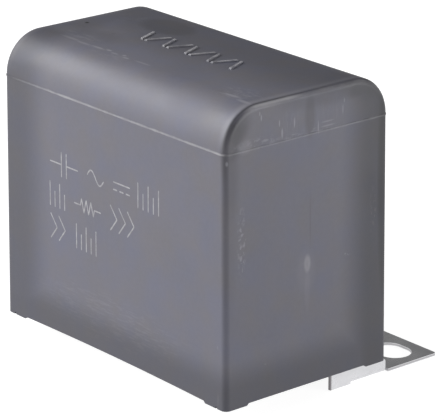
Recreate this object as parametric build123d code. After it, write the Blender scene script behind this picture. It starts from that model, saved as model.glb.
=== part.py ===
"""Box film capacitor with two slotted screw lugs, in millimetres.

A moulded box, open at its foot, holds two flat-pressed film windings one above the other. Metal sprayed on
both ends of each winding is soldered to a tinned strip, and the box is filled round them with potting resin.
Each strip leaves the resin beside an end wall, folds under the box and runs out past the back wall as a lug.

Frame: the origin is midway between the two lug slots, on the lugs' lower faces, which seat on a bus bar.
X runs along the box, +Y is the way the lugs point, +Z is up through the closed top of the box.
"""
import os
from math import radians, tan

from build123d import *

# Moulded box, outside
case_length = 57.5
case_width = 34.05
case_height = 48.75
top_edge_radius = 6.8
end_edge_radius = 1.0
end_draft_angle = 0.6
side_draft_angle = 0.28

# Moulded box, wall and rim
case_wall = 1.3
foot_height = 0.35
foot_length_on_side = 5.35
foot_length_on_end = 4.8
foot_flank = 0.35
foot_notch_width = 0.35
foot_notch_from_end = 2.05
rim_arch = 0.3

# Witness line left by the mould where its two halves met
parting_line_drop = 0.15
parting_line_height = 0.22
parting_line_proud = 0.09

# Plain raised hatching on the roof, bars that lean left and right in turn
hatch_bars = 9
hatch_pitch = 2.8
hatch_middle_x = -0.65
hatch_off_centre = 0.4
hatch_across = 4.3
hatch_lean = 0.95
hatch_bar_width = 0.75
hatch_rise = 0.25
hatch_draft_angle = 30.0
hatch_root = 0.2

# Potting resin
resin_recess = 1.0

# Resin left round the film windings, and the metal sprayed on their ends
winding_cover_below = 3.2
winding_cover_above = 2.4
winding_cover_beside = 1.3
winding_gap = 1.0
solder_cover = 0.7
spray_thickness = 0.8

# Terminals, folded from tinned sheet
sheet = 0.5
terminal_wall_gap = 0.4
band_width = 12.05
band_from_back = 10.6
shoulder_below_case = 0.6
shoulder_radius = 0.6
strip_width = 7.6
strip_above_contact = 6.0
joggle_start = 1.2
joggle_height = 2.2
joggle_radius = 0.8
fold_radius = 0.4
unfolded_width = 4.4
relief_width = 0.6
relief_depth = 1.0

# Lugs
case_lift = 3.1
slot_overhang = 7.95
slot_length = 7.2
slot_width = 5.7
slot_from_free_edge = 5.55
lug_width = 14.0
lug_past_slot = 5.0
lug_corner_radius = 0.5

# Solder that joins each strip to a sprayed end
contact_hole_radius = 1.5
solder_head_radius = 2.7
solder_head_height = 0.5
solder_head_slope = 0.35

# Sizes worked out from those above
end_slope = tan(radians(end_draft_angle))
side_slope = tan(radians(side_draft_angle))
back_face_y = -slot_overhang
case_y = back_face_y - case_width / 2
foot_z = case_lift
top_z = foot_z + case_height
resin_z = foot_z + foot_height + resin_recess

stack_bottom_z = resin_z + winding_cover_below
stack_top_z = top_z - case_wall - winding_cover_above
winding_thickness = (stack_top_z - stack_bottom_z - winding_gap) / 2
winding_width = case_width - 2 * (case_height * side_slope + case_wall + winding_cover_beside)
lower_winding_z = stack_bottom_z + winding_thickness / 2
upper_winding_z = stack_top_z - winding_thickness / 2
winding_z = {"lower": lower_winding_z, "upper": upper_winding_z}

inner_end_x = case_length / 2 - case_height * end_slope - case_wall
spray_face_x = inner_end_x - solder_cover - solder_head_height - sheet
film_end_x = spray_face_x - spray_thickness
strip_x = spray_face_x + sheet / 2
free_edge_x = case_length / 2 - case_wall - terminal_wall_gap
band_x = free_edge_x - sheet / 2
slot_x = free_edge_x - slot_from_free_edge
lug_end_x = free_edge_x - lug_width

band_start_y = back_face_y - band_from_back
band_end_y = band_start_y + band_width
fold_start_y = band_start_y + unfolded_width
contact_y = band_start_y + strip_width / 2
shoulder_z = foot_z - shoulder_below_case
strip_top_z = upper_winding_z + strip_above_contact


def drafted_block(inset, top, top_radius):
    """Solid under a rounded roof, widest at its foot, with every wall set in from the box by inset."""
    half_length = case_length / 2 - inset
    half_width = case_width / 2 - inset
    height = top - foot_z
    length_at_top = half_length - height * end_slope
    width_at_top = half_width - height * side_slope

    cross = Polyline(
        (-half_width, 0), (half_width, 0), (width_at_top, height), (-width_at_top, height), close=True
    )
    cross_face = make_face(Plane.YZ * cross)
    roof_corners = cross_face.vertices().group_by(Axis.Z)[-1]
    cross_face = fillet(roof_corners, top_radius)
    bar = extrude(cross_face, amount=case_length, both=True)

    side = Polyline(
        (-half_length, 0), (half_length, 0), (length_at_top, height), (-length_at_top, height), close=True
    )
    slab = extrude(make_face(Plane.XZ * side), amount=case_width, both=True)
    return Pos(Y=case_y, Z=foot_z) * (bar & slab)


def round_ends(block, radius):
    """Rounds the outline of both end faces, apart from their lowest edge."""
    faces = block.faces().sort_by(Axis.X)
    outlines = faces[0].edges().sort_by(Axis.Z)[1:] + faces[-1].edges().sort_by(Axis.Z)[1:]
    return fillet(outlines, radius)


def rim_gap(half_span, arch):
    """Outline of the gap between two feet along one wall, with sloping flanks and a slightly arched top."""
    low_left = (-half_span - foot_flank, 0)
    low_right = (half_span + foot_flank, 0)
    up_right = (half_span, foot_height)
    up_left = (-half_span, foot_height)
    flanks = Polyline(up_left, low_left, low_right, up_right)
    if arch:
        roof = ThreePointArc(up_right, (0, foot_height + arch), up_left)
    else:
        roof = Line(up_right, up_left)
    return make_face(Wire([*flanks.edges(), *roof.edges()]))


def make_cavity():
    """The space inside the box, down to the level of its feet."""
    return drafted_block(case_wall, top_z - case_wall, top_edge_radius - case_wall)


def make_hatching():
    """Raised bars on the roof, each a leaning strip with drafted sides that starts inside the wall."""
    foot_width = hatch_bar_width / 2 + hatch_root * tan(radians(hatch_draft_angle))
    bars = []
    for number in range(hatch_bars):
        lean = hatch_lean if number % 2 else -hatch_lean
        strip = Polyline(
            (-lean - foot_width, -hatch_across / 2),
            (-lean + foot_width, -hatch_across / 2),
            (lean + foot_width, hatch_across / 2),
            (lean - foot_width, hatch_across / 2),
            close=True,
        )
        bar = extrude(make_face(strip), hatch_root + hatch_rise, taper=hatch_draft_angle)
        bar_x = hatch_middle_x + (number - (hatch_bars - 1) / 2) * hatch_pitch
        bars.append(Pos(bar_x, case_y + hatch_off_centre, top_z - hatch_root) * bar)
    return bars


def make_case(cavity):
    """Box with an arched rim, a foot at each corner and the line where the mould halves met."""
    outside = round_ends(drafted_block(0, top_z, top_edge_radius), end_edge_radius)

    proud = parting_line_proud
    grown = drafted_block(-proud, top_z + proud, top_edge_radius + proud)
    line_z = top_z - top_edge_radius - parting_line_drop
    layer = Pos(Y=case_y, Z=line_z) * Box(2 * case_length, 2 * case_width, parting_line_height)
    flash = round_ends(grown, end_edge_radius + proud) & layer
    case = (outside + flash) - cavity

    along_side = case_length / 2 - foot_length_on_side
    along_end = case_width / 2 - foot_length_on_end
    side_gap = extrude(Plane.XZ * rim_gap(along_side, rim_arch), case_width, both=True)
    end_gap = extrude(Plane.YZ * rim_gap(along_end, 0), case_length, both=True)
    case -= Pos(Y=case_y, Z=foot_z) * side_gap
    case -= Pos(Y=case_y, Z=foot_z) * end_gap

    notch = Box(foot_notch_width, 2 * case_width, foot_height, align=(Align.CENTER, Align.CENTER, Align.MIN))
    notch_x = case_length / 2 - foot_notch_from_end - foot_notch_width / 2
    for side in (-1, 1):
        case -= Pos(side * notch_x, case_y, foot_z) * notch
    return case + make_hatching()


def oval_bar(middle_z, start_x, length):
    """Bar of flat-pressed oval section that runs along X."""
    face = Plane.YZ * SlotOverall(winding_width, winding_thickness)
    return Pos(start_x, case_y, middle_z) * extrude(face, length)


def make_winding(name):
    """Roll of metallised film, pressed flat."""
    return oval_bar(winding_z[name], -film_end_x, 2 * film_end_x)


def make_spray(name):
    """Metal sprayed on the right-hand end of a winding."""
    return oval_bar(winding_z[name], film_end_x, spray_thickness)


def bent_sheet(corners, radii, start_y, end_y):
    """Sheet bent along a line through the corners in the XZ plane, over a stretch of Y."""
    line = FilletPolyline(*corners, radius=radii)
    profile = Plane.XZ * trace(line, sheet)
    return Pos(Y=end_y) * extrude(profile, end_y - start_y)


def folded_sheet():
    """Strip, joggle and band, of full band width. Only the rear part of the band folds under the box."""
    joggle_low = resin_z + joggle_start
    fold_middle = fold_radius + sheet / 2
    down = [(strip_x, strip_top_z), (strip_x, joggle_low + joggle_height), (band_x, joggle_low)]
    joggle = [joggle_radius, joggle_radius]
    front = bent_sheet([*down, (band_x, 0)], joggle, band_start_y, fold_start_y)
    under = [(band_x, sheet / 2), (lug_end_x, sheet / 2)]
    rear = bent_sheet([*down, *under], [*joggle, fold_middle], fold_start_y, band_end_y)
    return front + rear


def blank_outline():
    """What of the folded sheet is metal, seen along X: a narrow strip on a wider band."""
    strip_end_y = band_start_y + strip_width
    outline = Polyline(
        (band_start_y, 0),
        (band_end_y, 0),
        (band_end_y, shoulder_z),
        (strip_end_y, shoulder_z),
        (strip_end_y, strip_top_z),
        (band_start_y, strip_top_z),
        close=True,
    )
    face = make_face(outline)
    shoulder = face.vertices().filter_by(lambda v: abs(v.Y - shoulder_z) < sheet)
    face = fillet(shoulder, shoulder_radius)
    return extrude(Plane.YZ * face, case_length)


def make_terminal():
    """Right-hand terminal: a strip inside the box and a slotted lug behind it, in one folded piece."""
    folded = folded_sheet() & blank_outline()

    corner = (Align.MAX, Align.MIN, Align.MIN)
    lug = Pos(free_edge_x, band_end_y) * Box(lug_width, lug_past_slot - band_end_y, sheet, align=corner)
    tip_corners = lug.edges().filter_by(Axis.Z).group_by(Axis.Y)[-1]
    lug = fillet(tip_corners, lug_corner_radius)

    relief = Pos(free_edge_x, band_end_y + relief_width / 2) * SlotOverall(2 * relief_depth, relief_width)
    slot = Pos(slot_x) * SlotOverall(slot_length, slot_width)
    terminal = folded + lug - extrude(relief, sheet) - extrude(slot, sheet)

    hole = Cylinder(contact_hole_radius, 2 * sheet, rotation=(0, 90, 0))
    for middle_z in winding_z.values():
        terminal -= Pos(strip_x, contact_y, middle_z) * hole
    return terminal


def make_solder(name):
    """Solder that fills the hole in a strip and spreads over it, on the right-hand side."""
    upright = (Align.CENTER, Align.CENTER, Align.MIN)
    plug = Cylinder(contact_hole_radius, sheet, align=upright)
    head = Pos(Z=sheet) * Cylinder(solder_head_radius, solder_head_height, align=upright)
    head = chamfer(head.edges().group_by(Axis.Z)[-1], solder_head_slope)
    return Pos(spray_face_x, contact_y, winding_z[name]) * Rot(Y=90) * (plug + head)


def both_sides(name, right):
    """The right-hand piece and its mirror image, named for their sides."""
    return {f"{name}_right": right, f"{name}_left": mirror(right, Plane.YZ)}


def make_resin(cavity, pieces):
    """Potting resin: what is left of the box's inside above the resin's surface."""
    span = 2 * case_length
    below = Pos(Y=case_y, Z=resin_z) * Box(span, span, span, align=(Align.CENTER, Align.CENTER, Align.MAX))
    resin = cavity - below
    for piece in pieces:
        resin -= piece
    return resin


def make_parts():
    """Every piece of the capacitor, by name."""
    parts = {}
    for name in winding_z:
        parts[f"film_winding_{name}"] = make_winding(name)
        parts.update(both_sides(f"zinc_spray_{name}", make_spray(name)))
        parts.update(both_sides(f"solder_joint_{name}", make_solder(name)))
    parts.update(both_sides("terminal", make_terminal()))

    cavity = make_cavity()
    parts["potting_resin"] = make_resin(cavity, list(parts.values()))
    parts["case"] = make_case(cavity)
    return parts


os.makedirs("parts", exist_ok=True)
for part_name, shape in make_parts().items():
    export_step(shape, f"parts/{part_name}.step")
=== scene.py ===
"""Box film capacitor: materials, small surface details and the studio round the packed CAD parts.

Row frame, in metres: the origin is midway between the lug slots on the lugs' lower faces, X runs along the
box, Y is the way the lugs point and Z is up through the closed top. Sizes that read more easily in
millimetres are written so and multiplied by MM.
"""
from functools import reduce
from math import pi, radians, tan
from operator import mul

import bpy
import numpy as np
from bpy.props import FloatProperty, FloatVectorProperty, IntProperty, PointerProperty
from mathutils import Matrix, Vector


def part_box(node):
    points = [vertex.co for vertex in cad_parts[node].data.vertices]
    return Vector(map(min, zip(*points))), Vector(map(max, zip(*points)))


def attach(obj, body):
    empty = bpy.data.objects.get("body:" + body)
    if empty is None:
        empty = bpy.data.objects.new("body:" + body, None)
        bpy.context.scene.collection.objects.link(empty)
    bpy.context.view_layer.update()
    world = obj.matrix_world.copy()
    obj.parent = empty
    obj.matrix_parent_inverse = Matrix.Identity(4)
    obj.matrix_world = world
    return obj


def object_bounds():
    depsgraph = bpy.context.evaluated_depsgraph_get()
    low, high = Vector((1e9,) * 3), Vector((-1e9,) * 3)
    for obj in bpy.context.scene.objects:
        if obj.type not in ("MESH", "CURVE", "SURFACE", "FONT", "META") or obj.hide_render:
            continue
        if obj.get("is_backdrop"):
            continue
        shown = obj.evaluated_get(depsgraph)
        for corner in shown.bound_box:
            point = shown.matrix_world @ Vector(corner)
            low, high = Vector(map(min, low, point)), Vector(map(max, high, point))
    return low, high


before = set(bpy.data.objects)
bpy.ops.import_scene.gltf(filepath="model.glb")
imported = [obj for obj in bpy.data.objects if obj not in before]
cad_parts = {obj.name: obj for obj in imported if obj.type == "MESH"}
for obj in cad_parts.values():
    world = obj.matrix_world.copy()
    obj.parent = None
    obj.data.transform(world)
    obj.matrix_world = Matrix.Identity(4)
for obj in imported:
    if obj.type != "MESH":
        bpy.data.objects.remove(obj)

bl_info = {
    "name": "Box Film Capacitor",
    "version": (1, 0, 0),
    "blender": (4, 5, 0),
    "location": "3D View > Sidebar > Capacitor",
    "description": "Dresses a potted box film capacitor with slotted sheet lugs and lights it in a studio",
    "category": "Object",
}

MM = 0.001
CAD_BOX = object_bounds()

# The moulded case, as the CAD part draws it
CASE_LOW, CASE_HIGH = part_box("case")
RESIN_SURFACE_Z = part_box("potting_resin")[0].z
CASE_Y = (CASE_LOW.y + CASE_HIGH.y) / 2
FOOT_HALF_LENGTH = CASE_HIGH.x
FOOT_HALF_WIDTH = (CASE_HIGH.y - CASE_LOW.y) / 2
ROOF_Z = CASE_LOW.z + 48.75 * MM
ROOF_RADIUS = 6.8 * MM
END_SLOPE = tan(radians(0.6))
SIDE_SLOPE = tan(radians(0.28))
WALL = 1.3 * MM
END_ROUNDING = 1.0 * MM
PARTING_LINE_Z = ROOF_Z - ROOF_RADIUS - 0.15 * MM

# The strip of each terminal, where it leaves the resin
STRIP_X = 26.8 * MM
STRIP_Y = -14.75 * MM
STRIP_HALF = (0.25 * MM, 3.8 * MM)

# The tinned sheet's thickness, and where its band starts and ends along Y under the end wall
SHEET = 0.5 * MM
BAND_START_Y, BAND_END_Y = -18.55 * MM, -6.5 * MM


def wall_half_length(z):
    """Half the case's length at height z: the end walls lean in by the end draft."""
    return FOOT_HALF_LENGTH - (z - CASE_LOW.z) * END_SLOPE


def wall_half_width(z):
    """Half the case's width at height z: the long walls lean in by the side draft."""
    return FOOT_HALF_WIDTH - (z - CASE_LOW.z) * SIDE_SLOPE


# Units and limits of the settings' numbers
SHARE = {"subtype": "FACTOR", "min": 0, "max": 1}
GLOW = {"min": 0, "max": 5}
POWER = {"unit": "POWER", "min": 0}


def colour_field(name, description, default):
    """A property for a colour: red, green and blue from 0 to 1."""
    return FloatVectorProperty(
        name=name, description=description, default=default, subtype="COLOR", size=3, min=0, max=1)


def number_field(name, description, default, **kind):
    """A property for a number of some kind."""
    return FloatProperty(name=name, description=description, default=default, **kind)


def length_field(name, description, default, least, most, precision=5):
    """A property for a length in metres, from the least to the most."""
    return number_field(
        name, description, default, unit="LENGTH", precision=precision, min=least, max=most)


class CapacitorCase(bpy.types.PropertyGroup):
    """Colours and finish of the moulded case."""

    plastic: colour_field("Plastic", "Colour of the moulded plastic", (0.133, 0.132, 0.1595))
    # Also blended in for the painted highlight on the roof beside an end wall
    rubbed: colour_field("Rubbed", "Colour where the plastic is rubbed or scratched", (0.243, 0.240, 0.270))
    # Also blended in for painted shade along the end wall's edges and corners and on the roof
    smudge_and_shade: colour_field("Smudged", "Colour of darker smudges and flow lines", (0.087, 0.085, 0.100))
    # Also blended in for the painted highlights along the lip of an end wall's top and on the hatch bars'
    # tops
    flash: colour_field(
        "Flash", "Colour of the thin flash along the parting line and the roof's ends", (0.38, 0.375, 0.395))
    mark: colour_field("Mark", "Colour of the laser-cut signs", (0.36, 0.355, 0.375))
    smooth_roughness: number_field(
        "Smooth roughness", "Roughness where the plastic is smoothest", 0.46, **SHARE)
    dull_roughness: number_field("Dull roughness", "Roughness where the plastic is dullest", 0.6, **SHARE)
    grain: length_field("Grain", "Depth of the mould's fine surface grain", 0.000012, 0, 0.0002, 6)


class CapacitorSigns(bpy.types.PropertyGroup):
    """Sizes of the plain laser-cut signs on the front wall."""

    height: length_field("Height", "Height of the signs", 0.0044, 0.001, 0.01)
    pitch: length_field("Row pitch", "Distance from one row of signs to the next", 0.0056, 0.002, 0.012)
    stroke: length_field("Stroke", "Width of a stroke", 0.00026, 0.0001, 0.001)
    rise: length_field("Rise", "How far the foamed plastic of a stroke stands up", 0.00002, 0, 0.0001, 6)


class CapacitorGate(bpy.types.PropertyGroup):
    """Size and place of the mark where the case's sprue broke off."""

    radius: length_field("Radius", "Radius of the raised ring", 0.0005, 0.0002, 0.003)
    stretch: number_field("Stretch", "How many times taller than wide the mark is", 2.2, min=1, max=4)
    rise: length_field("Rise", "Height of the broken stub", 0.00004, 0, 0.0005)
    level: length_field("Level", "Height of the mark above the lugs", 0.02385, 0.01, 0.045)


class CapacitorResin(bpy.types.PropertyGroup):
    """Sizes and colour of the resin where it shows under the case."""

    colour: colour_field("Colour", "Colour of the potting resin", (0.045, 0.045, 0.05))
    climb: length_field("Climb", "How far the resin creeps up a wall", 0.00055, 0, 0.0007)
    reach: length_field("Reach", "How far the creep starts from a wall", 0.0009, 0.0001, 0.003)
    bubbles: IntProperty(
        name="Bubbles", description="Number of small bubbles set in the surface", min=0, max=60, default=16)


class CapacitorMetal(bpy.types.PropertyGroup):
    """Colours of the metals and the film."""

    tin: colour_field("Tin", "Colour of the tinned sheet", (0.66, 0.66, 0.68))
    tin_dull: colour_field("Dull tin", "Colour of the tinned sheet where it has dulled", (0.56, 0.56, 0.575))
    # Painted shade: the colour blended onto the sheet's edge faces
    cut: colour_field("Cut edge", "Colour of the sheet's sheared edges", (0.13, 0.12, 0.125))
    zinc: colour_field("Zinc", "Colour of the sprayed zinc", (0.52, 0.53, 0.54))
    solder: colour_field("Solder", "Colour of the solder", (0.68, 0.68, 0.69))
    film: colour_field("Film", "Colour of the wound metallised film", (0.70, 0.70, 0.68))


class CapacitorStudio(bpy.types.PropertyGroup):
    """The camera, the floor and the lights."""

    place: FloatVectorProperty(
        name="Camera place", description="Where the camera stands", subtype="TRANSLATION", unit="LENGTH",
        size=3, precision=5, default=(0.34971272, -0.3105491, 0.1826086))
    azimuth: number_field(
        "Azimuth", "Which way the camera faces: 0 looks along Y", radians(50.1522), subtype="ANGLE")
    elevation: number_field("Elevation", "How far the camera looks down", radians(19.2445), subtype="ANGLE")
    roll: number_field(
        "Roll", "How far the camera is turned round its line of sight", radians(-0.0048), subtype="ANGLE")
    lens: number_field("Lens", "Focal length of the camera", 237.077, unit="CAMERA")
    floor: colour_field("Floor", "Colour of the floor", (0.3, 0.3, 0.3))
    floor_glow: number_field("Floor glow", "Light that the floor gives off itself", 0.92, **GLOW)
    floor_bounce: number_field(
        "Floor bounce", "Share of the light that the floor throws back on the capacitor", 0.35, **SHARE)
    front_power: number_field("Front softbox", "Power of the softbox that faces the front wall", 3.0, **POWER)
    left_power: number_field(
        "Left softbox", "Power of the softbox that shines along the roof's edge", 2.4, **POWER)
    right_power: number_field("Right softbox", "Power of the softbox on the end wall's side", 2.6, **POWER)
    back_power: number_field("Back softbox", "Power of the softbox that the lugs reflect", 0.085, **POWER)
    room_light: number_field("Room light", "Strength of the even light from all round", 0.2, **GLOW)


SETTINGS = {
    "capacitor_case": CapacitorCase,
    "capacitor_signs": CapacitorSigns,
    "capacitor_gate": CapacitorGate,
    "capacitor_resin": CapacitorResin,
    "capacitor_metal": CapacitorMetal,
    "capacitor_studio": CapacitorStudio,
}


def grid_surface(points, close_rows=False, close_columns=False):
    """Vertices and quads of a grid of points; a closed direction joins its last line to its first."""
    rows, columns = points.shape[:2]
    index = np.arange(rows * columns).reshape(rows, columns)
    if close_rows:
        index = np.vstack([index, index[:1]])
    if close_columns:
        index = np.hstack([index, index[:, :1]])
    quads = np.stack([index[:-1, :-1], index[1:, :-1], index[1:, 1:], index[:-1, 1:]], axis=-1)
    return points.reshape(-1, 3), quads.reshape(-1, 4)


def add_object(name, points, quads, material):
    """A new object in the scene, with its mesh and its material."""
    mesh = bpy.data.meshes.new(name)
    mesh.from_pydata(points.tolist(), [], quads.tolist())
    mesh.materials.append(material)
    added = bpy.data.objects.new(name, mesh)
    bpy.context.scene.collection.objects.link(added)
    return added


def add_piece(name, surfaces, material):
    """Joins surfaces, each its vertices and quads, into one smooth piece that rides on the capacitor."""
    starts = np.cumsum([0] + [len(points) for points, _ in surfaces[:-1]])
    points = np.vstack([points for points, _ in surfaces])
    quads = np.vstack([faces + start for (_, faces), start in zip(surfaces, starts)])
    piece = add_object(name, points, quads, material)
    piece.data.polygons.foreach_set("use_smooth", np.ones(len(quads), bool))
    piece.data.update()
    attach(piece, "root")


def finish_node(name, material):
    """Gives a CAD node its material."""
    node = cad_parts[name]
    for slot in node.material_slots:
        slot.material = material


class Board:
    """A node tree, with short ways to add nodes to it and to wire them."""

    def __init__(self, tree):
        self.tree = tree

    def plug(self, socket, value):
        """Links the socket to another node's output, or sets it to a value."""
        if isinstance(value, bpy.types.NodeSocket):
            self.tree.links.new(value, socket)
        else:
            socket.default_value = value

    def add(self, kind, values=(), **settings):
        """A new node with its settings and its inputs' values, by name or number."""
        node = self.tree.nodes.new(kind)
        for name, setting in settings.items():
            setattr(node, name, setting)
        for name, value in dict(values).items():
            self.plug(node.inputs[name], value)
        return node

    def split(self, vector):
        """The X, Y and Z of a vector."""
        return self.add("ShaderNodeSeparateXYZ", {0: vector}).outputs[:]

    def math(self, operation, *values, clamp=False):
        """The output of a Math node."""
        node = self.add("ShaderNodeMath", enumerate(values), operation=operation, use_clamp=clamp)
        return node.outputs[0]

    def times(self, *values):
        """The product of two or more values."""
        return reduce(lambda total, value: self.math("MULTIPLY", total, value), values)

    def vector(self, operation, *values):
        """The output of a Vector Math node: a number for a length, else a vector."""
        node = self.add("ShaderNodeVectorMath", enumerate(values), operation=operation)
        return node.outputs["Value" if operation == "LENGTH" else "Vector"]

    def blend(self, mask, below, above):
        """The colour below where the mask is 0 and the colour above where it is 1."""
        node = self.add("ShaderNodeMix", {0: mask}, data_type="RGBA")
        colours = [socket for socket in node.inputs if socket.type == "RGBA"]
        for socket, colour in zip(colours, (below, above)):
            self.plug(socket, colour)
        return next(socket for socket in node.outputs if socket.type == "RGBA")

    def ramp(self, value, start, end, low=0.0, high=1.0, ease="LINEAR"):
        """A number that runs from low to high while the value runs from start to end."""
        values = {"Value": value, "From Min": start, "From Max": end, "To Min": low, "To Max": high}
        return self.add("ShaderNodeMapRange", values, interpolation_type=ease).outputs["Result"]

    def between(self, mask, low, high):
        """The number low where the mask is 0 and high where it is 1."""
        return self.ramp(mask, 0.0, 1.0, low, high)

    def noise(self, place, scale, **values):
        """Smooth noise at a place, by its cells to a unit of length."""
        values = {"Vector": place, "Scale": scale, **values}
        return self.add("ShaderNodeTexNoise", values).outputs["Fac"]

    def effect(self, name, **values):
        """The output of a shared effect. The names of its values have _ for a space."""
        values = {socket.replace("_", " "): value for socket, value in values.items()}
        return self.add("ShaderNodeGroup", values, node_tree=bpy.data.node_groups[name]).outputs[0]


def new_effect(name, inputs, output):
    """An empty node group with the named inputs and one output."""
    group = bpy.data.node_groups.new(name, "ShaderNodeTree")
    for label, kind in inputs.items():
        group.interface.new_socket(label, in_out="INPUT", socket_type=kind)
    group.interface.new_socket(output, in_out="OUTPUT", socket_type="NodeSocketFloat")
    board = Board(group)
    return board, board.add("NodeGroupInput").outputs, board.add("NodeGroupOutput").inputs[0]


VECTOR, NUMBER = "NodeSocketVector", "NodeSocketFloat"

# How sharply streaks stand out, and the share of a patch's half size that its core takes
STREAK_CONTRAST, PATCH_CORE = 8.0, 0.35


def build_grain():
    """Fine even grain: noise whose cells have the given size."""
    board, given, result = new_effect("Grain", {"Place": VECTOR, "Size": NUMBER}, "Height")
    cells = board.math("DIVIDE", 1.0, given["Size"])
    board.plug(result, board.noise(given["Place"], cells, Detail=3.0, Roughness=0.6))


def build_mottling():
    """Soft uneven patches: noise of the given size, spread to run from 0 to 1."""
    board, given, result = new_effect("Mottling", {"Place": VECTOR, "Size": NUMBER}, "Mask")
    cells = board.math("DIVIDE", 1.0, given["Size"])
    noise = board.noise(given["Place"], cells, Detail=2.0, Roughness=0.5)
    board.plug(result, board.ramp(noise, start=0.3, end=0.7))


def build_streaks():
    """Thin rubbed streaks: noise stretched by a length on each axis, kept where it is highest."""
    inputs = {"Place": VECTOR, "Stretch": VECTOR, "Sparseness": NUMBER}
    board, given, result = new_effect("Streaks", inputs, "Mask")
    place = board.vector("DIVIDE", given["Place"], given["Stretch"])
    noise = board.noise(place, 1.0, Detail=2.5, Roughness=0.65, Distortion=0.25)
    over = board.math("SUBTRACT", noise, given["Sparseness"])
    board.plug(result, board.math("MULTIPLY", over, STREAK_CONTRAST, clamp=True))


def build_patch():
    """A soft oval patch: full strength in its core, falling smoothly to 0 at its half size on each axis."""
    inputs = {"Place": VECTOR, "Centre": VECTOR, "Half": VECTOR, "Strength": NUMBER}
    board, given, result = new_effect("Patch", inputs, "Mask")
    offset = board.vector("SUBTRACT", given["Place"], given["Centre"])
    distance = board.vector("LENGTH", board.vector("DIVIDE", offset, given["Half"]))
    fade = board.ramp(distance, start=1.0, end=PATCH_CORE, high=given["Strength"], ease="SMOOTHSTEP")
    board.plug(result, fade)


def build_line():
    """A thin line: 1 where the value equals the centre, falling to 0 at the half width."""
    inputs = {"Value": NUMBER, "Centre": NUMBER, "Half width": NUMBER}
    board, given, result = new_effect("Line", inputs, "Mask")
    offset = board.math("ABSOLUTE", board.math("SUBTRACT", given["Value"], given["Centre"]))
    board.plug(result, board.ramp(offset, given["Half width"], 0.0, ease="SMOOTHSTEP"))


EFFECTS = {
    "Grain": build_grain,
    "Mottling": build_mottling,
    "Streaks": build_streaks,
    "Patch": build_patch,
    "Line": build_line,
}


class Finish(Board):
    """A material in the making: its node tree, its shader and the place on the object in millimetres."""

    def __init__(self, name):
        for effect, build in EFFECTS.items():
            if effect not in bpy.data.node_groups:
                build()
        self.material = bpy.data.materials.new(name)
        self.material.use_nodes = True
        super().__init__(self.material.node_tree)
        self.shader = self.tree.nodes["Principled BSDF"]
        place = self.add("ShaderNodeTexCoord").outputs["Object"]
        self.place = self.vector("MULTIPLY", place, (1 / MM,) * 3)

    def grain(self, size):
        """Fine even grain of a size in millimetres."""
        return self.effect("Grain", Place=self.place, Size=size)

    def mottling(self, size):
        """Soft uneven patches of a size in millimetres."""
        return self.effect("Mottling", Place=self.place, Size=size)

    def streaks(self, stretch, sparseness):
        """Streaks with a length in millimetres on each axis, fewer as the sparseness grows."""
        return self.effect("Streaks", Place=self.place, Stretch=stretch, Sparseness=sparseness)

    def patch(self, centre, half, strength):
        """A soft oval patch, by its centre and half size in millimetres."""
        return self.effect("Patch", Place=self.place, Centre=centre, Half=half, Strength=strength)

    def line(self, value, centre, half_width):
        """A thin line where the value is near the centre."""
        return self.effect("Line", Value=value, Centre=centre, Half_width=half_width)

    def complete(self, colour, rough, height, depth, metallic=0.0):
        """The material with its colour, its roughness and a bump of heights 0 to 1 over the depth."""
        normal = self.add("ShaderNodeBump", {"Height": height, "Distance": depth}).outputs["Normal"]
        values = {"Base Color": colour, "Roughness": rough, "Normal": normal, "Metallic": metallic}
        for name, value in values.items():
            self.plug(self.shader.inputs[name], value)
        return self.material


def opaque(colour, shade=1.0):
    """A colour with a full alpha, made lighter or darker by a factor."""
    return (*(Vector(colour) * shade), 1.0)


def on_end(y, z):
    """The point of the right-hand end wall at y and z, in millimetres."""
    return wall_half_length(z * MM) / MM, y, z


def on_roof(x, y):
    """The point of the flat roof at x and y, in millimetres."""
    return x, y, ROOF_Z / MM


# Light rubs on the case: centre and half size in millimetres, streak lengths, strength
RUBS = (
    (on_end(-20.6, 47.5), (1.2, 6.2, 4.2), (0.5, 0.22, 2.6), 0.12),
    (on_end(-28.4, 47.1), (1.2, 2.4, 4.0), (0.5, 0.25, 1.8), 0.2),
    (on_end(-35.6, 45.6), (1.2, 5.6, 1.2), (0.5, 1.1, 0.6), 0.6),
    (on_end(-26.0, 45.3), (1.2, 9.0, 0.7), (0.5, 1.6, 0.4), 0.45),
    (on_end(-38.5, 30.2), (1.0, 1.1, 7.5), (0.5, 0.75, 0.95), 0.9),
    (on_end(-11.25, 29.6), (1.0, 0.95, 5.2), (0.5, 0.55, 1.1), 0.9),
    (on_end(-16.8, 23.4), (1.0, 0.9, 0.5), (0.5, 0.5, 0.3), 0.9),
    (on_roof(-7.7, -35.4), (8.0, 1.8, 1.2), (2.2, 0.25, 0.5), 0.3),
    (on_roof(22.4, -33.7), (5.0, 3.6, 1.2), (1.8, 0.3, 0.5), 0.6),
    (on_roof(-19.6, -32.9), (8.0, 2.2, 1.2), (2.4, 0.3, 0.5), 0.4),
    (on_roof(-21.5, -20.0), (5.0, 4.0, 1.2), (2.4, 1.3, 0.5), 0.2),
    ((0.0, -42.0, 9.8), (26.0, 1.5, 6.0), (3.0, 0.5, 0.35), 0.25),
)

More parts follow.
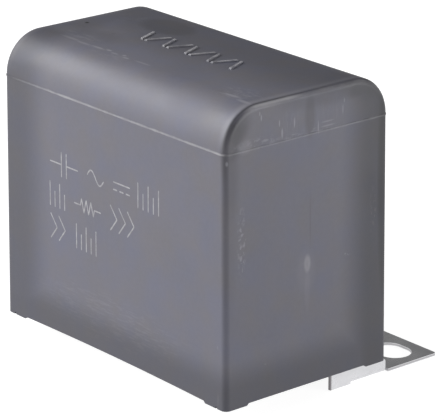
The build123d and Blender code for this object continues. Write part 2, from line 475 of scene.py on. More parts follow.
# Light scratches and creases on the case, as narrow patches: centre and half size in millimetres, strength
SCRATCHES = (
    (on_end(-34.8, 50.2), (1.0, 0.2, 0.5), 0.6),
    (on_end(-34.5, 49.5), (1.0, 0.18, 0.7), 0.8),
    (on_end(-30.85, 47.9), (1.0, 0.17, 0.75), 0.9),
    (on_end(-30.3, 46.2), (1.0, 0.26, 1.1), 0.9),
    (on_end(-27.8, 47.4), (1.0, 0.18, 1.1), 0.95),
    (on_end(-33.7, 45.75), (1.0, 0.9, 0.3), 0.6),
    (on_end(-22.9, 45.7), (1.0, 0.2, 1.4), 0.8),
    (on_end(-21.0, 46.3), (1.0, 1.7, 0.18), 0.6),
    (on_end(-20.9, 45.6), (1.0, 1.9, 0.2), 0.6),
    (on_end(-17.8, 47.6), (1.0, 0.17, 1.0), 0.8),
    (on_end(-17.5, 49.0), (1.0, 0.2, 0.5), 0.7),
    (on_roof(-19.3, -34.85), (3.2, 0.5, 0.6), 0.5),
    (on_roof(-15.2, -35.1), (2.4, 0.45, 0.6), 0.5),
    (on_roof(-11.8, -34.9), (2.2, 0.42, 0.6), 0.7),
    (on_roof(-9.3, -34.55), (0.9, 0.45, 0.6), 0.9),
    (on_roof(-7.4, -34.95), (1.2, 0.42, 0.6), 0.6),
    (on_roof(-5.3, -34.55), (0.6, 0.38, 0.6), 0.9),
    (on_roof(-4.1, -35.2), (1.1, 0.35, 0.6), 0.7),
    (on_roof(-0.1, -34.95), (2.7, 0.4, 0.6), 0.5),
    (on_roof(22.2, -35.35), (2.2, 0.5, 0.6), 0.7),
    (on_roof(25.8, -35.9), (2.2, 0.5, 0.6), 0.6),
)

# Darker flow lines on the case, and painted shade along the end wall's edges and corners and on the roof:
# centre and half size in millimetres, strength
SMUDGES_AND_SHADE = (
    (on_end(-24.6, 47.9), (1.2, 1.5, 4.6), 0.75),
    (on_end(-24.5, 31.0), (1.0, 0.22, 6.0), 0.4),
    # Painted shade: along the end wall's front and back edges, at its top corners and on the roof
    ((28.2, -41.0, 35.3), (0.9, 2.0, 30.0), 0.28),
    (on_end(-38.6, 49.4), (0.9, 3.0, 3.0), 0.6),
    (on_end(-40.3, 46.8), (0.9, 2.6, 3.8), 0.8),
    (on_end(-40.6, 41.5), (0.9, 2.4, 9.0), 0.4),
    ((28.0, -41.9, 46.0), (1.2, 1.2, 7.0), 0.6),
    (on_end(-8.4, 47.0), (0.9, 3.2, 18.0), 0.65),
    (on_end(-12.5, 51.0), (0.9, 7.0, 4.0), 0.6),
    (on_roof(-16.7, -27.9), (0.6, 0.5, 0.5), 0.25),
    (on_roof(25.9, -15.9), (4.0, 6.0, 1.2), 0.2),
    (on_roof(-16.6, -31.2), (6.5, 4.4, 1.0), 0.4),
)

# Small pale spots on the case: centre and half size in millimetres, strength
SPOTS = (
    (on_end(-41.3, 43.5), (0.5, 0.3, 0.55), 0.9),
    ((26.95, -42.1, 4.6), (0.16, 1.0, 1.7), 0.6),
    (on_end(-25.1, 23.8), (1.0, 0.9, 1.9), 1.0),
    (on_end(-25.4, 22.6), (1.0, 2.6, 4.5), 0.18),
    (on_roof(-24.2, -31.9), (3.4, 2.8, 1.0), 0.22),
    (on_end(-37.7, 45.5), (1.0, 1.8, 1.6), 0.35),
    (on_end(-25.1, 19.5), (1.0, 0.8, 4.8), 0.16),
    (on_end(-41.9, 31.9), (0.6, 0.6, 0.14), 0.6),
    (on_end(-33.8, 9.1), (0.5, 0.3, 0.2), 0.4),
    ((26.8, -42.0, 13.4), (0.2, 0.5, 0.5), 0.3),
)

# Painted shade: where the plastic is darkened towards edges, on the roof and in a pit, in place of the shade
# that falls there: centre, half size, share lost
EDGE_SHADE_PATCHES = (
    ((-28.75, -25.0, 27.0), (13.5, 200.0, 200.0), 0.42),
    ((0.0, -25.0, 3.1), (200.0, 200.0, 9.0), 0.45),
    ((28.5, -7.95, 27.0), (9.0, 11.0, 200.0), 0.58),
    ((28.5, -7.95, 35.0), (9.0, 4.5, 45.0), 0.78),
    ((0.0, -7.95, 53.0), (200.0, 30.0, 6.0), 0.47),
    (on_roof(-14.0, -18.5), (12.0, 7.0, 2.0), 0.58),
    (on_end(-18.0, 51.0), (1.0, 17.0, 3.0), 0.28),
    (on_end(-13.0, 50.3), (1.0, 6.5, 2.8), 0.5),
    (on_end(-39.2, 48.4), (1.2, 2.6, 3.2), 0.3),
    (on_roof(-24.8, -27.2), (0.6, 0.6, 0.5), 1.0),
)


BLACK, WHITE = (0.0, 0.0, 0.0, 1.0), (1.0, 1.0, 1.0, 1.0)

# The case's plastic leans to a cool or a warm cast: shares of its red, green and blue
COOL, WARM = (0.955, 0.985, 1.085), (1.04, 1.01, 0.96)

# How strongly a layer shows on the case's plastic: the random speckle, the painted highlight on the roof
# beside an end wall, and the dark line of painted shade on the edge from the roof to an end wall
SPECKLE_STRENGTH, ROOF_HIGHLIGHT_STRENGTH, CREASE_SHADE_STRENGTH = 0.18, 0.38, 0.55


def patch_masks(finish, patches):
    """The masks of soft oval patches, made when asked for."""
    for centre, half, strength in patches:
        yield finish.patch(centre, half, strength)


def rub_masks(finish):
    """The masks of the streaky rubs, made when asked for."""
    for centre, half, stretch, strength in RUBS:
        yield finish.times(finish.patch(centre, half, strength), finish.streaks(stretch, 0.5))


def join_masks(finish, masks, operation="ADD"):
    """The masks joined into one, kept under 1.

    Each is joined as soon as it is made, because a shader holds only so many at a time.
    """
    return reduce(lambda total, mask: finish.math(operation, total, mask, clamp=True), masks)


def parting_flash(finish, x, z, broken):
    """Where flash shows along the parting line: uneven, fading to the left and past the box's edges."""
    half_width = finish.between(finish.mottling(1.3), 0.2, 0.36)
    seam = finish.line(z, PARTING_LINE_Z / MM, half_width)
    from_left = finish.ramp(x, start=-27.0, end=-13.0)
    seam = finish.times(seam, finish.times(finish.between(broken, 0.5, 1.0), from_left))
    return finish.times(seam, finish.ramp(finish.math("ABSOLUTE", x), 27.9, 28.2, low=1.0, high=0.4))


def way_round_edge(finish, x, y, z):
    """How far round the edge from the roof to an end wall: below 0 on the roof, 0 to 2 mm on the edge.

    It is the depth inside the end wall's rounded outline, which is the outline's radius less the distance
    from its corner's centre, plus the distance past the start of the edge's own rounding.
    """
    from_middle = finish.math("ABSOLUTE", finish.math("SUBTRACT", y, CASE_Y / MM))
    beside = finish.math("SUBTRACT", from_middle, (wall_half_width(ROOF_Z) - ROOF_RADIUS) / MM)
    above = finish.math("SUBTRACT", z, (ROOF_Z - ROOF_RADIUS) / MM)
    corner = {"X": finish.math("MAXIMUM", beside, 0.0), "Y": finish.math("MAXIMUM", above, 0.0)}
    from_corner = finish.vector("LENGTH", finish.add("ShaderNodeCombineXYZ", corner).outputs[0])
    inset = finish.math("SUBTRACT", ROOF_RADIUS / MM, from_corner)
    start = finish.math("MULTIPLY_ADD", z, -END_SLOPE, (wall_half_length(0) - END_ROUNDING) / MM)
    return finish.math("ADD", finish.math("SUBTRACT", finish.math("ABSOLUTE", x), start), inset)


def painted_lip_highlight(finish, way, y, broken):
    """Painted highlight along the lip of an end wall's top: past the front corner, most just behind it."""
    lip = finish.line(way, 1.1, 0.6)
    past_corner = finish.ramp(y, start=-38.0, end=-35.5)
    most = finish.patch(on_end(-32.0, 51.5), (2.0, 7.5, 3.0), 0.6)
    return finish.times(lip, past_corner, finish.math("ADD", finish.between(broken, 0.15, 0.3), most))


def case_plastic(look):
    """Satin moulded plastic: soft mottling and grain, with rubs, smudges and pale flash, painted shade
    towards edges and corners, and painted highlights along the roof's ends and on the hatch bars.
    """
    finish = Finish("case_plastic")
    x, y, z = finish.split(finish.place)

    cloud = finish.mottling(9.0)
    elsewhere = finish.vector("ADD", finish.place, (40.0, 0.0, 0.0))
    cast = finish.effect("Mottling", Place=elsewhere, Size=5.0)
    fine = finish.grain(0.28)
    speckle = finish.mottling(0.7)
    broken = finish.mottling(2.2)

    rubbed = join_masks(finish, rub_masks(finish))
    smudge_and_shade = join_masks(finish, patch_masks(finish, SMUDGES_AND_SHADE))
    spots = join_masks(finish, patch_masks(finish, SPOTS + SCRATCHES))
    # Painted shade: the plastic darkened towards edges, on the roof and in a pit
    painted_shade = join_masks(finish, patch_masks(finish, EDGE_SHADE_PATCHES), "MAXIMUM")
    seam = parting_flash(finish, x, z, broken)

    # The edge from the roof to an end wall: a painted highlight on the roof's side, a dark line of painted
    # shade, and a painted highlight along the lip
    way = way_round_edge(finish, x, y, z)
    high = finish.ramp(z, start=45.5, end=48.5)
    glow = finish.line(way, -0.1, 1.2)
    # Painted shade: a dark line along the rounded edge from the roof to an end wall
    crease_shade = finish.line(way, 0.62, finish.ramp(z, start=48.0, end=51.0, low=0.8, high=0.42))
    lip = painted_lip_highlight(finish, way, y, broken)

    # Painted highlight on the tops of the raised hatch bars, broken up unevenly
    hatch_highlight = finish.ramp(z, start=ROOF_Z / MM + 0.1, end=ROOF_Z / MM + 0.22)
    hatch_highlight = finish.times(hatch_highlight, finish.between(broken, 0.1, 0.9))

    cool, warm = (opaque(map(mul, look.plastic, shares)) for shares in (COOL, WARM))
    rub_and_highlight_colour, flash_and_highlight_colour = opaque(look.rubbed), opaque(look.flash)
    colour = finish.vector("MULTIPLY", finish.blend(cast, cool, warm), finish.between(cloud, 0.93, 1.07))
    crease_shade = finish.times(crease_shade, finish.times(high, CREASE_SHADE_STRENGTH))
    layers = (
        (finish.times(speckle, SPECKLE_STRENGTH), opaque(look.plastic, 1.25)),
        # Darker flow lines, and painted shade along the end wall's edges and corners and on the roof
        (smudge_and_shade, opaque(look.smudge_and_shade)),
        # Painted highlight on the roof beside an end wall's top edge
        (finish.times(glow, finish.times(high, ROOF_HIGHLIGHT_STRENGTH)), rub_and_highlight_colour),
        (rubbed, rub_and_highlight_colour),
        (spots, rub_and_highlight_colour),
        # Painted shade, blended towards black: towards edges, on the roof, in a pit and in a dark line along
        # the roof's end edges
        (finish.math("MAXIMUM", painted_shade, crease_shade), BLACK),
        # Painted highlight on the hatch bars' tops
        (hatch_highlight, flash_and_highlight_colour),
        # Painted highlight along the lip of an end wall's top
        (finish.times(lip, high), flash_and_highlight_colour),
        (seam, flash_and_highlight_colour),
    )
    for mask, over in layers:
        colour = finish.blend(mask, colour, over)

    rough = finish.between(cloud, look.smooth_roughness, look.dull_roughness)
    rough = finish.math("ADD", rough, finish.times(rubbed, 0.12), clamp=True)
    height = finish.math("ADD", fine, finish.times(rubbed, 0.8))
    finish.shader.inputs["IOR"].default_value = 1.5
    return finish.complete(colour, rough, height, look.grain)


def mark_plastic(look):
    """Plastic that the laser has foamed: pale, dull and slightly uneven along a stroke."""
    finish = Finish("mark_plastic")
    uneven = finish.mottling(0.8)
    colour = finish.blend(uneven, opaque(look.mark, 0.72), opaque(look.mark, 1.12))
    return finish.complete(colour, finish.between(uneven, 0.65, 0.8), finish.grain(0.08), 0.01 * MM)


def potting_resin(look):
    """Cast resin: smooth and near black, with a faint haze and slow ripples."""
    finish = Finish("potting_resin")
    haze = finish.mottling(5.0)
    colour = finish.blend(haze, opaque(look.colour, 0.8), opaque(look.colour, 1.35))
    return finish.complete(colour, finish.between(haze, 0.18, 0.34), finish.grain(6.0), 0.25 * MM)


def tinned_sheet(look):
    """Bright tinned sheet: fine rolling lines along Y, dull patches, a few scratches and painted shade on its
    edge faces.
    """
    finish = Finish("tinned_sheet")
    rolled = finish.streaks((0.12, 9.0, 3.0), 0.46)
    dull = finish.mottling(2.6)
    scratched = finish.streaks((1.7, 0.09, 1.2), 0.62)
    colour = finish.blend(dull, opaque(look.tin), opaque(look.tin_dull))
    colour = finish.blend(finish.times(scratched, 0.5), colour, opaque(look.tin, 0.7))

    # Painted shade on the sheet's edge faces: the band's front edge, and half way up the sheet round the lug
    _, y, z = finish.split(finish.place)
    start, end, middle = BAND_START_Y / MM, BAND_END_Y / MM, SHEET / MM / 2
    band_edge = finish.ramp(y, start + 0.4, start, high=0.9)
    on_lug = finish.ramp(y, end, end + 0.1, high=0.5)
    lug_edge = finish.line(z, middle, 0.96 * middle)
    shaded = finish.math("MAXIMUM", band_edge, finish.times(lug_edge, on_lug))
    colour = finish.blend(shaded, colour, opaque(look.cut))

    rough = finish.math("ADD", finish.between(dull, 0.2, 0.36), finish.times(rolled, 0.06))
    height = finish.math("ADD", rolled, finish.times(scratched, 0.5))
    return finish.complete(colour, rough, height, 0.003 * MM, metallic=1.0)


def sprayed_zinc(look):
    """Zinc sprayed in droplets: coarse grains that catch the light unevenly."""
    finish = Finish("sprayed_zinc")
    drops = finish.grain(0.35)
    rough = finish.between(finish.mottling(3.0), 0.5, 0.72)
    colour = finish.blend(drops, opaque(look.zinc, 0.7), opaque(look.zinc, 1.25))
    return finish.complete(colour, rough, drops, 0.12 * MM, metallic=0.9)


def soft_solder(look):
    """Soft solder: bright and smooth, with slow flow ripples and duller islands."""
    finish = Finish("solder")
    islands = finish.mottling(0.9)
    rough = finish.between(islands, 0.22, 0.42)
    colour = finish.blend(islands, opaque(look.solder), opaque(look.solder, 0.8))
    return finish.complete(colour, rough, finish.grain(1.6), 0.15 * MM, metallic=1.0)


def metallised_film(look):
    """Wound film: clear gloss over a silvery layer, with the fine lines of its many turns."""
    finish = Finish("metallised_film")
    turns = finish.streaks((20.0, 0.1, 0.1), 0.45)
    rough = finish.between(finish.mottling(4.0), 0.16, 0.3)
    colour = finish.blend(turns, opaque(look.film), opaque(look.film, 0.82))
    return finish.complete(colour, rough, turns, 0.02 * MM, metallic=0.6)


# A sign is a list of strokes, each a path of X and Z points at most a step apart. Upright strokes and
# arrows repeat at their own pitch
STROKE_STEP = 0.15 * MM
RULE_PITCH, ARROW_PITCH = 1.3 * MM, 2.2 * MM


def run_along(path):
    """The distance along a path at each of its points."""
    return np.concatenate([[0], np.cumsum(np.linalg.norm(np.diff(path, axis=0), axis=1))])


def straight(*corners):
    """Points along straight runs between corners."""
    corners = np.array(corners, float)
    run = run_along(corners)
    steps = np.linspace(0, run[-1], int(run[-1] / STROKE_STEP) + 3)
    return np.stack([np.interp(steps, run, corners[:, axis]) for axis in (0, 1)], axis=1)


def capacitor_sign(x, z, height):
    """Two upright plates with a lead to each, drawn from x to the right."""
    lead, gap = 0.72 * height, 0.3 * height
    near, far = x + lead, x + lead + gap
    upright = [(near, z - height / 2), (near, z + height / 2)]
    return [
        straight((x, z), (near, z)),
        straight(*upright),
        straight(*[(far, level) for _, level in upright]),
        straight((far, z), (far + lead, z)),
    ]


def wave_sign(x, z, height):
    """One period of a sine wave, for alternating current."""
    t = np.linspace(0, 1, 41)
    return [np.stack([x + t * height, z + 0.24 * height * np.sin(2 * pi * t)], axis=1)]


def direct_sign(x, z, height):
    """A line over three dashes, for direct current."""
    rise, dash = 0.14 * height, 0.26 * height
    dashes = [straight((x + start, z - rise), (x + start + dash, z - rise))
              for start in np.array([0, 1.42, 2.84]) * dash]
    return [straight((x, z + rise), (x + height, z + rise)), *dashes]


def zigzag_sign(x, z, height):
    """Three zigzag turns between two leads, for a resistance."""
    lead, step, swing = 0.4 * height, 0.14 * height, 0.26 * height
    turns = [(x + lead + (2 * turn + 1) * step / 2, z + swing * (1 - 2 * (turn % 2)))
             for turn in range(6)]
    end = x + lead + 6 * step
    return [straight((x, z), (x + lead, z), *turns, (end, z), (end + lead, z))]


def rule_sign(x, z, height, count):
    """Upright strokes side by side, every other one short."""
    strokes = []
    for number in range(count):
        place, top = x + number * RULE_PITCH, z + height * (0.5 - 0.35 * (number % 2))
        strokes.append(straight((place, z - height / 2), (place, top)))
    return strokes


def arrow_sign(x, z, height, count):
    """Chevrons that point right."""
    strokes = []
    for number in range(count):
        tail = x + number * ARROW_PITCH
        tip = (tail + 0.4 * height, z)
        strokes.append(straight((tail, z - height / 2), tip, (tail, z + height / 2)))
    return strokes


# The level of the top row, and each row's signs: the sign, its start along X in millimetres and its count
TOP_ROW_Z = 33.1 * MM
SIGN_ROWS = (
    ((capacitor_sign, -16.1), (wave_sign, -6.1), (direct_sign, 0.7), (rule_sign, 7.1, 5)),
    ((rule_sign, -16.1, 4), (zigzag_sign, -9.7), (arrow_sign, -0.1, 3)),
    ((arrow_sign, -16.1, 2), (rule_sign, -9.1, 5)),
)

# How far the rim of a stroke and of a bubble lies under the surface it sits on
STROKE_SUNK, BUBBLE_SUNK = 0.002 * MM, 0.004 * MM


def stroke_surface(path, width, rise):
    """A thin raised stroke along a path on the front wall.

    Across the path its height is the rise times one less s squared, for s from -1 to 1. Near both ends its
    width and height follow a quarter circle down to nothing, so that the stroke is closed.
    """
    run = run_along(path)
    along = np.gradient(path, run, axis=0)
    along /= np.linalg.norm(along, axis=1, keepdims=True)
    aside = np.stack([-along[:, 1], along[:, 0]], axis=1)
    from_end = np.minimum(run, run[-1] - run) / (width / 2)
    spread = np.sqrt(1 - (1 - np.clip(from_end, 0, 1)) ** 2)[:, None]
    s = np.linspace(-1, 1, 7)
    flat = path[:, None] + aside[:, None] * (spread * s * width / 2)[..., None]
    proud = rise * spread * (1 - s ** 2) - STROKE_SUNK
    x, z = flat[..., 0], flat[..., 1]
    y = CASE_Y - wall_half_width(z) - proud
    return grid_surface(np.stack([x, y, z], axis=-1))


# The gate mark from its rim inwards: distance over its radius and height over its rise. Inside the torn
# share it is ragged
GATE_PROFILE = np.array([
    (1.15, -0.05), (1.0, 0.2), (0.85, 0.22), (0.62, 0.16), (0.5, 0.3),
    (0.42, 0.85), (0.3, 1.0), (0.15, 0.95), (0.02, 0.93),
])
GATE_TORN = 0.45


def gate_surface(radius, stretch, rise, level):
    """The broken sprue on the right-hand end wall, an oval surface turned round the wall's normal.

    Its height steps up to a low ring at the radius, falls to a flat, then rises to a stub at half the
    radius whose torn top tilts and ripples with the sine of the angle and of three times the angle.
    """
    share, height = GATE_PROFILE.T[..., None]
    angle = np.linspace(0, 2 * pi, 36, endpoint=False)[None]
    torn = np.where(share < GATE_TORN, 0.16 * np.sin(angle + 0.6) + 0.1 * np.sin(3 * angle), 0)
    out = rise * (height + torn * (share / GATE_TORN))
    wobble = 1 + 0.06 * np.sin(2 * angle + 1) + 0.04 * np.sin(5 * angle)
    y = CASE_Y + radius * share * wobble * np.cos(angle)
    z = level + stretch * radius * share * wobble * np.sin(angle)
    grid = np.stack([wall_half_length(z) + out, y, z], axis=-1)
    return grid_surface(grid[:, ::-1], close_columns=True)


# The corner radius of the case's inside and of a strip, and the creep on a strip as shares of a wall's
WALL_CORNER, STRIP_CORNER = 0.05 * MM, 0.02 * MM
STRIP_CLIMB, STRIP_REACH = 0.7, 0.5


def rounded_loop(half_x, half_y, radius, corner_steps=9):
    """Points round a rectangle with rounded corners, anticlockwise seen from above."""
    turn = np.linspace(0, pi / 2, corner_steps)
    angle = (np.arange(4)[:, None] * pi / 2 + turn).ravel()
    sign_x = np.repeat([1, -1, -1, 1], corner_steps)
    sign_y = np.repeat([1, 1, -1, -1], corner_steps)
    x = sign_x * (half_x - radius) + radius * np.cos(angle)
    y = sign_y * (half_y - radius) + radius * np.sin(angle)
    return np.stack([x, y], axis=1)


def creep_grid(climb, reach, loop_at):
    """A hollow quarter circle carried round a loop, as a grid of rings from the creep's tip to the resin.

    From ring to ring the distance from the wall grows to the reach as one less the cosine of an angle, and
    the height falls from the climb to nothing as one less its sine.
    """
    angle = np.linspace(0, pi / 2, 8)
    rings = []
    for away, share in zip((1 - np.cos(angle)) * reach, 1 - np.sin(angle)):
        z = RESIN_SURFACE_Z - share * climb
        x, y = loop_at(away, z).T
        rings.append(np.column_stack([x, y, np.full(len(x), z)]))
    return np.stack(rings, axis=1)


def wall_creep(climb, reach):
    """Resin that creeps down the inside of the walls.

    The loop's corner radius grows by 1.5 times the distance from the wall, so the creep fills the corners.
    """
    def loop_at(away, z):
        half_x = wall_half_length(z) - WALL - away
        half_y = wall_half_width(z) - WALL - away
        return rounded_loop(half_x, half_y, WALL_CORNER + 1.5 * away) + (0, CASE_Y)

    return grid_surface(creep_grid(climb, reach, loop_at)[:, ::-1], close_rows=True)


def strip_creep(side, climb, reach):
    """Resin that creeps down a terminal's strip, kept inside the end wall."""
    limit = wall_half_length(RESIN_SURFACE_Z) - WALL

    def loop_at(away, z):
        loop = rounded_loop(STRIP_HALF[0] + away, STRIP_HALF[1] + away, STRIP_CORNER + away)
        return np.minimum(loop + (STRIP_X, STRIP_Y), (limit, np.inf))

    grid = creep_grid(climb, reach, loop_at)
    if side < 0:
        grid = grid[:, ::-1] * (-1, 1, 1)
    return grid_surface(grid, close_rows=True)


def bubble_surface(x, y, radius):
    """A bubble under the resin's skin: a low dome with a dimple in its middle.

    At a share of its radius, its height over the radius is 0.22 times the whole of one, less the share
    squared, less 0.55 times a bell curve of the share over 0.35.
    """
    share = np.linspace(1.0, 0.02, 9)[:, None]
    angle = np.linspace(0, 2 * pi, 20, endpoint=False)[None]
    dome = 0.22 * radius * ((1 - share ** 2) - 0.55 * np.exp(-(share / 0.35) ** 2)) - BUBBLE_SUNK
    grid = np.stack([
        x + radius * share * np.cos(angle),
        y + radius * share * np.sin(angle),
        RESIN_SURFACE_Z - dome + 0 * angle,
    ], axis=-1)
    return grid_surface(grid, close_columns=True)


# Half the size of the field of bubbles, the power that keeps most of them small, and their random seed
BUBBLE_FIELD = (22.0 * MM, 13.0 * MM)
BUBBLE_POWER, BUBBLE_SEED = 1.5, 5


class CAPACITOR_OT_case(bpy.types.Operator):
    """Give the moulded case its satin plastic"""

    bl_idname = "capacitor.case"
    bl_label = "Finish the Case"

    def execute(self, context):
        finish_node("case", case_plastic(context.scene.capacitor_case))
        return {"FINISHED"}


class CAPACITOR_OT_signs(bpy.types.Operator):
    """Cut three rows of plain signs into the front wall"""

    bl_idname = "capacitor.signs"
    bl_label = "Add the Front Signs"

    def execute(self, context):
        signs = context.scene.capacitor_signs
        paths = []
        for number, row in enumerate(SIGN_ROWS):
            level = TOP_ROW_Z - number * signs.pitch
            for sign, start, *count in row:
                paths += sign(start * MM, level, signs.height, *count)
        surfaces = [stroke_surface(path, signs.stroke, signs.rise) for path in paths]
        add_piece("front_signs", surfaces, mark_plastic(context.scene.capacitor_case))
        return {"FINISHED"}


class CAPACITOR_OT_gate(bpy.types.Operator):
    """Add the mark where the case's sprue broke off"""

    bl_idname = "capacitor.gate"
    bl_label = "Add the Gate Mark"

    def execute(self, context):
        gate = context.scene.capacitor_gate
        surface = gate_surface(gate.radius, gate.stretch, gate.rise, gate.level)
        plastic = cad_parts["case"].material_slots[0].material
        add_piece("gate_mark", [surface], plastic)
        return {"FINISHED"}


class CAPACITOR_OT_resin(bpy.types.Operator):
    """Finish the potting resin, with its creep up the walls and its bubbles"""

    bl_idname = "capacitor.resin"
    bl_label = "Finish the Resin"

    def execute(self, context):
        resin = context.scene.capacitor_resin
        material = potting_resin(resin)
        finish_node("potting_resin", material)
        creep = [wall_creep(resin.climb, resin.reach)]
        for side in (-1, 1):
            creep.append(strip_creep(side, STRIP_CLIMB * resin.climb, STRIP_REACH * resin.reach))
        add_piece("resin_creep", creep, material)

        chance = np.random.default_rng(BUBBLE_SEED)
        across = chance.uniform(-1, 1, (resin.bubbles, 2)) * BUBBLE_FIELD
        radii = chance.uniform(0.2, 0.75, resin.bubbles) ** BUBBLE_POWER * MM
        bubbles = [bubble_surface(x, CASE_Y + y, radius) for (x, y), radius in zip(across, radii)]
        if bubbles:
            add_piece("resin_bubbles", bubbles, material)
        return {"FINISHED"}


class CAPACITOR_OT_terminals(bpy.types.Operator):
    """Give both terminals their bright tinned sheet"""

    bl_idname = "capacitor.terminals"
    bl_label = "Finish the Terminals"

    def execute(self, context):
        material = tinned_sheet(context.scene.capacitor_metal)
        for side in ("left", "right"):
            finish_node(f"terminal_{side}", material)
        return {"FINISHED"}


class CAPACITOR_OT_inside(bpy.types.Operator):
    """Finish the windings, the sprayed ends and the solder joints"""

    bl_idname = "capacitor.inside"
    bl_label = "Finish the Inside"

    def execute(self, context):
        metal = context.scene.capacitor_metal
        film, zinc, solder = metallised_film(metal), sprayed_zinc(metal), soft_solder(metal)
        for level in ("lower", "upper"):
            finish_node(f"film_winding_{level}", film)
            for side in ("left", "right"):
                finish_node(f"zinc_spray_{level}_{side}", zinc)
                finish_node(f"solder_joint_{level}_{side}", solder)
        return {"FINISHED"}


def floor_material(studio):
    """Pale floor that gives off a little light, clear from below so that the underside can be seen."""
    material = bpy.data.materials.new("studio_floor")
    material.use_nodes = True
    board = Board(material.node_tree)
    shader = material.node_tree.nodes["Principled BSDF"]
    shader.inputs["Base Color"].default_value = opaque(studio.floor)
    shader.inputs["Roughness"].default_value = 0.9
    shader.inputs["Specular IOR Level"].default_value = 0.1
    shader.inputs["Emission Color"].default_value = WHITE
    shader.inputs["Emission Strength"].default_value = studio.floor_glow
    grey = opaque((studio.floor_bounce,) * 3)
    bounce = board.add("ShaderNodeBsdfDiffuse", {"Color": grey}).outputs[0]
    ray = board.add("ShaderNodeLightPath").outputs
    seen = board.math("ADD", ray["Is Camera Ray"], ray["Is Glossy Ray"], clamp=True)
    top = board.add("ShaderNodeMixShader", {0: seen, 1: bounce, 2: shader.outputs[0]}).outputs[0]
    clear = board.add("ShaderNodeBsdfTransparent").outputs[0]
    from_below = board.add("ShaderNodeNewGeometry").outputs["Backfacing"]
    sheet = board.add("ShaderNodeMixShader", {0: from_below, 1: top, 2: clear}).outputs[0]
    board.plug(material.node_tree.nodes["Material Output"].inputs["Surface"], sheet)
    return material


# Each softbox: its direction from the capacitor's middle, and its width and height in metres
SOFTBOXES = {
    "front": ((-0.3, -0.85, 0.35), (0.5, 0.4)),
    "left": ((-0.72, -0.39, 0.59), (0.4, 0.32)),
    "right": ((0.82, 0.5, 0.12), (0.35, 0.3)),
    "back": ((-0.5, 0.8, 0.3), (0.8, 0.5)),
}
SOFTBOX_DISTANCE = 0.6
MIDDLE = Vector((0, CASE_Y, 0.03))
FLOOR_HALF, FLOOR_Z = 4.0, -0.05 * MM


def add_softbox(name, direction, size, power):
    """A rectangular area light that faces the middle of the capacitor from a direction."""
    light = bpy.data.lights.new(name, "AREA")
    light.shape = "RECTANGLE"
    light.size, light.size_y = size
    light.energy = power
    lamp = bpy.data.objects.new(name, light)
    toward = Vector(direction).normalized()
    lamp.location = MIDDLE + toward * SOFTBOX_DISTANCE
    lamp.rotation_euler = (-toward).to_track_quat("-Z", "Y").to_euler()
    bpy.context.scene.collection.objects.link(lamp)


def studio_room(studio):
    """A world that lights the capacitor evenly and is plain white to the camera."""
    world = bpy.data.worlds.new("studio_room")
    world.use_nodes = True
    board = Board(world.node_tree)
    room = world.node_tree.nodes["Background"]
    room.inputs["Color"].default_value = WHITE
    room.inputs["Strength"].default_value = studio.room_light
    white = board.add("ShaderNodeBackground", {"Color": WHITE, "Strength": 1.0}).outputs[0]
    seen = board.add("ShaderNodeLightPath").outputs["Is Camera Ray"]
    mixed = board.add("ShaderNodeMixShader", {0: seen, 1: room.outputs[0], 2: white}).outputs[0]
    board.plug(world.node_tree.nodes["World Output"].inputs["Surface"], mixed)
    return world


def add_camera(studio):
    """The camera, from looking straight down: rolled, raised to its elevation and turned to its azimuth."""
    camera = bpy.data.cameras.new("camera")
    camera.sensor_width = 36.0
    camera.lens = studio.lens
    camera.clip_start, camera.clip_end = 0.01, 20.0
    eye = bpy.data.objects.new("camera", camera)
    turn = (
        Matrix.Rotation(studio.azimuth, 4, "Z")
        @ Matrix.Rotation(pi / 2 - studio.elevation, 4, "X")
        @ Matrix.Rotation(studio.roll, 4, "Z")
    )
    eye.matrix_world = Matrix.Translation(studio.place) @ turn
    bpy.context.scene.collection.objects.link(eye)
    return eye


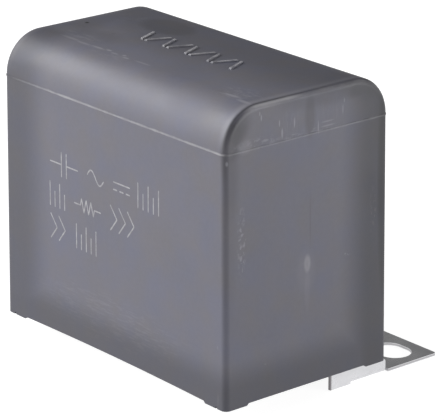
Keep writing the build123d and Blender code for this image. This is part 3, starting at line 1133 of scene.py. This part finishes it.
class CAPACITOR_OT_stage(bpy.types.Operator):
    """Set up the floor, the softboxes, the even room light and the camera"""

    bl_idname = "capacitor.stage"
    bl_label = "Set Up the Studio"

    def execute(self, context):
        scene = context.scene
        studio = scene.capacitor_studio

        span = np.linspace(-FLOOR_HALF, FLOOR_HALF, 3)
        x, y = np.meshgrid(span, span, indexing="ij")
        points, quads = grid_surface(np.stack([x, y, np.full_like(x, FLOOR_Z)], axis=-1))
        floor = add_object("studio_floor", points, quads, floor_material(studio))
        floor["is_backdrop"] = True

        for side, (direction, size) in SOFTBOXES.items():
            add_softbox(f"{side}_softbox", direction, size, getattr(studio, f"{side}_power"))
        scene.world = studio_room(studio)
        scene.view_settings.view_transform = "Standard"
        scene.camera = add_camera(studio)
        return {"FINISHED"}


OPERATORS = (
    CAPACITOR_OT_case,
    CAPACITOR_OT_signs,
    CAPACITOR_OT_gate,
    CAPACITOR_OT_resin,
    CAPACITOR_OT_terminals,
    CAPACITOR_OT_inside,
    CAPACITOR_OT_stage,
)


class CAPACITOR_PT_tools(bpy.types.Panel):
    """The capacitor's pieces, finishes and studio"""

    bl_idname = "CAPACITOR_PT_tools"
    bl_label = "Box Film Capacitor"
    bl_space_type = "VIEW_3D"
    bl_region_type = "UI"
    bl_category = "Capacitor"

    def draw(self, context):
        for operator in OPERATORS:
            self.layout.operator(operator.bl_idname)
        for name, group in SETTINGS.items():
            box = self.layout.box()
            box.label(text=group.__doc__)
            for field in group.__annotations__:
                box.prop(getattr(context.scene, name), field)


def register():
    """Registers the settings, the operators and the panel."""
    for group in SETTINGS.values():
        bpy.utils.register_class(group)
    for name, group in SETTINGS.items():
        setattr(bpy.types.Scene, name, PointerProperty(type=group))
    for operator in (*OPERATORS, CAPACITOR_PT_tools):
        bpy.utils.register_class(operator)


def unregister():
    """Takes them all back."""
    for operator in reversed((*OPERATORS, CAPACITOR_PT_tools)):
        bpy.utils.unregister_class(operator)
    for name, group in reversed(SETTINGS.items()):
        delattr(bpy.types.Scene, name)
        bpy.utils.unregister_class(group)


def main():
    """Builds everything in order and works out the CAD model's box and the dressed model's."""
    register()
    bpy.ops.capacitor.case()
    bpy.ops.capacitor.signs()
    bpy.ops.capacitor.gate()
    bpy.ops.capacitor.resin()
    bpy.ops.capacitor.terminals()
    bpy.ops.capacitor.inside()
    bpy.ops.capacitor.stage()
    boxes = {"cad": CAD_BOX, "visual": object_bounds()}
    {name: [list(corner) for corner in box] for name, box in boxes.items()}


if __name__ == "__main__":
    main()
